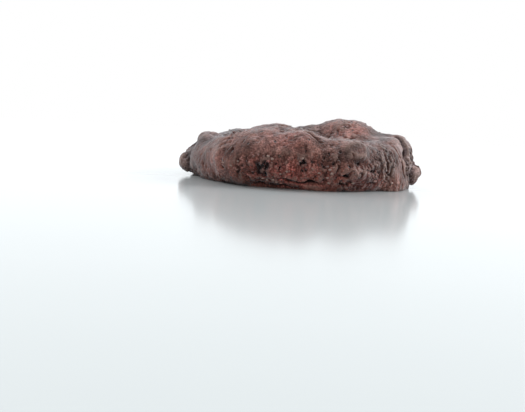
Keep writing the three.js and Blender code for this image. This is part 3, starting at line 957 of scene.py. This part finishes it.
def build_biscuit():
    points, faces, hollow, rough = biscuit_form()
    low, high = (np.array(corner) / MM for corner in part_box("shortbread"))
    shift = (low + high) / 2 - (points.min(0) + points.max(0)) / 2
    points = points + [shift[0], shift[1], 0]
    layers = {"hollow": hollow, "rough": rough, **colour_at(points)}
    made = mesh_object("shortbread_baked", points, faces, layers)
    crumb_points, crumb_faces, crumb_hollow = loose_crumbs(
        points, vertex_normals(points, faces), rough
    )
    wholly_rough = np.ones(len(crumb_points))
    layers = {"hollow": crumb_hollow, "rough": wholly_rough, **colour_at(crumb_points)}
    crumbs = mesh_object("crumbs", crumb_points, crumb_faces, layers)
    material = dough_material()
    for piece in (made, crumbs):
        piece.data.materials.append(material)
        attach(piece, "root")
    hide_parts("shortbread")


class Graph:
    """Short ways to add nodes to one node tree and to join them."""

    def __init__(self, tree):
        self.tree = tree

    def add(self, kind, **settings):
        """A new node, with its inputs or its own properties set."""
        made = self.tree.nodes.new(kind)
        for key, value in settings.items():
            if key in made.inputs:
                made.inputs[key].default_value = value
            else:
                setattr(made, key, value)
        return made

    def feed(self, socket, value):
        """Join an output to the socket, or set a plain value on it."""
        if isinstance(value, bpy.types.NodeSocket):
            self.tree.links.new(value, socket)
        else:
            socket.default_value = value

    def coordinates(self, kind):
        return self.add("ShaderNodeTexCoord").outputs[kind]

    def attribute(self, name):
        return self.add("ShaderNodeAttribute", attribute_name=name).outputs["Fac"]

    def noise(self, at, scale, detail, output="Fac"):
        made = self.add("ShaderNodeTexNoise", Scale=scale, Detail=detail)
        self.feed(made.inputs["Vector"], at)
        return made.outputs[output]

    def cells(self, at, scale):
        """A cell's distance from its middle, and two random numbers of the cell."""
        made = self.add("ShaderNodeTexVoronoi", Scale=scale)
        self.feed(made.inputs["Vector"], at)
        luck = self.add("ShaderNodeSeparateColor")
        self.feed(luck.inputs[0], made.outputs["Color"])
        return made.outputs["Distance"], luck.outputs[:2]

    def remap(self, value, low, high, to=(0.0, 1.0), kind="LINEAR"):
        made = self.add("ShaderNodeMapRange", clamp=True, interpolation_type=kind)
        names = ("From Min", "From Max", "To Min", "To Max")
        for name, number in zip(names, (low, high, *to)):
            made.inputs[name].default_value = number
        self.feed(made.inputs["Value"], value)
        return made.outputs["Result"]

    def math(self, operation, first, second):
        made = self.add("ShaderNodeMath", operation=operation)
        self.feed(made.inputs[0], first)
        self.feed(made.inputs[1], second)
        return made.outputs[0]

    def ramp(self, value, stops):
        made = self.add("ShaderNodeValToRGB")
        elements = made.color_ramp.elements
        while len(elements) < len(stops):
            elements.new(0.5)
        for element, (position, colour) in zip(elements, stops):
            element.position = position
            element.color = (*colour, 1)
        self.feed(made.inputs["Fac"], value)
        return made.outputs["Color"]

    def mix(self, share, first, second, blend="MIX"):
        made = self.add("ShaderNodeMix", data_type="RGBA", blend_type=blend)
        for socket, value in ((0, share), (6, first), (7, second)):
            self.feed(made.inputs[socket], value)
        return made.outputs[2]

    def tint(self, colour, by, share=1.0):
        return self.mix(share, colour, by, "MULTIPLY")

    def blend(self, share, first, second):
        """One shader that changes to another."""
        made = self.add("ShaderNodeMixShader")
        for socket, value in zip(made.inputs, (share, first, second)):
            self.feed(socket, value)
        return made.outputs[0]


def stirred(graph, at):
    """Positions pushed about a little, so that the crumbs' edges aren't straight."""
    made = graph.add("ShaderNodeVectorMath", operation="MULTIPLY_ADD")
    graph.feed(made.inputs[0], graph.noise(at, *STIR_NOISE, output="Color"))
    made.inputs[1].default_value = (STIR_REACH, STIR_REACH, STIR_REACH)
    graph.feed(made.inputs[2], at)
    return made.outputs[0]


def brown_colour(graph, at):
    """Brown by patches, with painted light and shade, streaks and specks, a foot redder partly as
    painted shade, and a top greyer as a painted sheen.
    """
    colour = graph.ramp(graph.noise(at, *BROWN_NOISE), BROWN)
    for layer, stops in (("red", SHEEN_GREY_AND_RED), ("bright", LIGHT_AND_SHADING_TONE)):
        share = graph.remap(graph.attribute(layer), -1.0, 1.0)
        colour = graph.tint(colour, graph.ramp(share, stops))
    stretched = graph.add("ShaderNodeMapping", Scale=STREAK_STRETCH)
    graph.feed(stretched.inputs["Vector"], at)
    streak = graph.noise(stretched.outputs[0], *STREAK_NOISE)
    colour = graph.tint(colour, graph.ramp(streak, STREAKS))
    specks = graph.ramp(graph.noise(at, *SPECK_NOISE), SPECKS)
    colour = graph.tint(colour, specks, SPECK_SHARE)
    place = graph.add("ShaderNodeSeparateXYZ")
    graph.feed(place.inputs[0], at)
    height = graph.remap(place.outputs["Z"], 0.0, FOOT_SHADING_TOP_SHEEN_HEIGHT)
    return graph.tint(colour, graph.ramp(height, FOOT_SHADING_TOP_SHEEN))


def pore_mask(graph, at):
    """1 in the pinholes that some cells have, 0 outside them."""
    away, (often, wide) = graph.cells(at, PORE_PATTERN)
    inside = graph.math("SUBTRACT", graph.math("MULTIPLY", wide, PORE_WIDTH), away)
    inside = graph.remap(inside, *PORE_EDGE)
    return graph.math("MULTIPLY", graph.remap(often, *PORE_OFTEN), inside)


def shade_pores_and_hollows(graph, colour, pore):
    """The colour with painted shade in the pores and deep hollows, and pale bulges."""
    hollow = graph.attribute("hollow")
    colour = graph.mix(pore, colour, PORE_SHADING_COLOUR)
    colour = graph.mix(graph.remap(hollow, *PALE_BULGES), colour, PALE_COLOUR)
    return graph.mix(graph.remap(hollow, *SHADING_IN_HOLLOWS), colour, HOLLOW_SHADING_COLOUR)


def dough_bump(graph, at, crumb_away, grain_away, pore):
    """Relief finer than the mesh: grain, and where it is rough, the edges of crumbs."""
    far = graph.math("MULTIPLY", crumb_away, CRUMB_BUMP)
    far = graph.math("ADD", far, graph.math("MULTIPLY", grain_away, GRAIN_BUMP))
    far = graph.math("MULTIPLY", far, graph.remap(graph.attribute("rough"), *ROUGH_BUMP))
    height = graph.math("MULTIPLY", graph.noise(at, *RELIEF_NOISE), NOISE_BUMP)
    height = graph.math("SUBTRACT", height, far)
    height = graph.math("SUBTRACT", height, pore)
    bump = graph.add("ShaderNodeBump", Strength=BUMP_STRENGTH, Distance=BUMP_DISTANCE)
    graph.feed(bump.inputs["Height"], height)
    return bump.outputs["Normal"]


def dough_material():
    material = bpy.data.materials.new("chocolate_dough")
    material.use_nodes = True
    material.node_tree.nodes.clear()
    graph = Graph(material.node_tree)
    at = graph.coordinates("Object")
    bent = stirred(graph, at)
    crumb_away, _ = graph.cells(bent, CRUMB_PATTERN)
    grain_away, (grain_luck, _) = graph.cells(bent, GRAIN_PATTERN)
    pore = pore_mask(graph, bent)
    colour = brown_colour(graph, at)
    crumbly = graph.remap(graph.attribute("rough"), *ROUGH_COLOUR)
    # Where the dough is crumbly, each grain has its own tone, and painted shade darkens the
    # creases at the edges of grains and crumbs.
    tints = ((grain_luck, GRAIN_TONE), (grain_away, EDGE_SHADING_OF_GRAINS), (crumb_away, EDGE_SHADING_OF_CRUMBS))
    for value, stops in tints:
        colour = graph.tint(colour, graph.ramp(value, stops), crumbly)
    colour = shade_pores_and_hollows(graph, colour, pore)
    shader = graph.add("ShaderNodeBsdfPrincipled", **DOUGH_SHADER)
    graph.feed(shader.inputs["Base Color"], colour)
    gloss = graph.remap(graph.noise(at, *GLOSS_NOISE), 0.0, 1.0, to=GLOSS_RANGE)
    graph.feed(shader.inputs["Roughness"], gloss)
    graph.feed(shader.inputs["Normal"], dough_bump(graph, at, crumb_away, grain_away, pore))
    out = graph.add("ShaderNodeOutputMaterial")
    graph.feed(out.inputs["Surface"], shader.outputs[0])
    return material


def floor_material():
    """Pale and slightly glossy, fading to white away from the biscuit."""
    material = bpy.data.materials.new("pale_floor")
    material.use_nodes = True
    material.node_tree.nodes.clear()
    graph = Graph(material.node_tree)
    pale = (*FLOOR_COLOUR, 1)
    gloss = {"Base Color": pale, "Roughness": FLOOR_ROUGHNESS}
    shader = graph.add("ShaderNodeBsdfPrincipled", **gloss)
    away = graph.add("ShaderNodeVectorMath", operation="LENGTH")
    graph.feed(away.inputs[0], graph.coordinates("Object"))
    share = graph.remap(away.outputs["Value"], *FLOOR_FADE, kind="SMOOTHSTEP")
    white = graph.add("ShaderNodeEmission", Strength=1.0)
    out = graph.add("ShaderNodeOutputMaterial")
    faded = graph.blend(share, shader.outputs[0], white.outputs[0])
    graph.feed(out.inputs["Surface"], faded)
    return material


def build_floor():
    square = ((-1, -1), (1, -1), (1, 1), (-1, 1))
    corners = [(x * FLOOR_SIZE, y * FLOOR_SIZE, 0) for x, y in square]
    mesh = bpy.data.meshes.new("pale_floor")
    mesh.from_pydata(corners, [], [(0, 1, 2, 3)])
    mesh.materials.append(floor_material())
    floor = bpy.data.objects.new("pale_floor", mesh)
    bpy.context.scene.collection.objects.link(floor)


def build_world():
    """White to the camera; as a light it is brighter above and behind than in front."""
    world = bpy.data.worlds.new("studio")
    bpy.context.scene.world = world
    world.use_nodes = True
    world.node_tree.nodes.clear()
    graph = Graph(world.node_tree)
    toward = graph.add("ShaderNodeVectorMath", operation="DOT_PRODUCT")
    graph.feed(toward.inputs[0], graph.coordinates("Generated"))
    toward.inputs[1].default_value = SKY_DIRECTION
    strength = graph.remap(toward.outputs["Value"], *SKY_EDGE, to=SKY_STRENGTH, kind="SMOOTHSTEP")
    lit = graph.add("ShaderNodeBackground", Color=SKY_COLOUR)
    graph.feed(lit.inputs["Strength"], strength)
    seen = graph.add("ShaderNodeBackground", Color=WHITE, Strength=1.0)
    by_camera = graph.add("ShaderNodeLightPath").outputs["Is Camera Ray"]
    out = graph.add("ShaderNodeOutputWorld")
    sky = graph.blend(by_camera, lit.outputs[0], seen.outputs[0])
    graph.feed(out.inputs["Surface"], sky)


def build_lights():
    """Round lights aimed at the biscuit."""
    for name, place, width, power, colour in LIGHTS:
        data = bpy.data.lights.new(name, "AREA")
        data.shape = "DISK"
        data.size = width
        data.energy = power
        data.color = colour
        light = bpy.data.objects.new(name, data)
        bpy.context.scene.collection.objects.link(light)
        light.location = place
        light.rotation_euler = (-Vector(place)).to_track_quat("-Z", "Y").to_euler()


def camera_turn(place):
    """Yaw and pitch that show the biscuit's middle at its pixel, before the roll."""
    offset = Vector((
        (BISCUIT_PIXEL[0] - PHOTO_WIDTH / 2) / FOCAL_PIXELS,
        (PHOTO_HEIGHT / 2 - BISCUIT_PIXEL[1]) / FOCAL_PIXELS,
        -1,
    ))
    across, up, _ = Matrix.Rotation(CAMERA_ROLL, 3, "Z") @ offset
    ray = Vector((0, 0, BISCUIT_MIDDLE_HEIGHT)) - place
    sine = ray.z / ray.length * math.sqrt(1 + across**2 + up**2) / math.sqrt(1 + up**2)
    pitch = math.asin(sine) - math.atan(up)
    yaw = math.atan2(across, math.cos(pitch) - up * math.sin(pitch))
    return Matrix.Rotation(yaw, 3, "Z") @ Matrix.Rotation(math.pi / 2 + pitch, 3, "X")


def build_camera():
    place = Vector((0, -CAMERA_DISTANCE, CAMERA_HEIGHT))
    data = bpy.data.cameras.new("camera")
    data.sensor_width = SENSOR_WIDTH
    data.lens = SENSOR_WIDTH * FOCAL_PIXELS / PHOTO_WIDTH
    data.clip_start = NEAREST_SEEN
    camera = bpy.data.objects.new("camera", data)
    bpy.context.scene.collection.objects.link(camera)
    rolled = camera_turn(place) @ Matrix.Rotation(CAMERA_ROLL, 3, "Z")
    camera.matrix_world = Matrix.Translation(place) @ rolled.to_4x4()
    bpy.context.scene.camera = camera


build_camera()
build_world()
build_lights()
build_floor()
build_biscuit()
bpy.context.scene.view_settings.view_transform = "Standard"
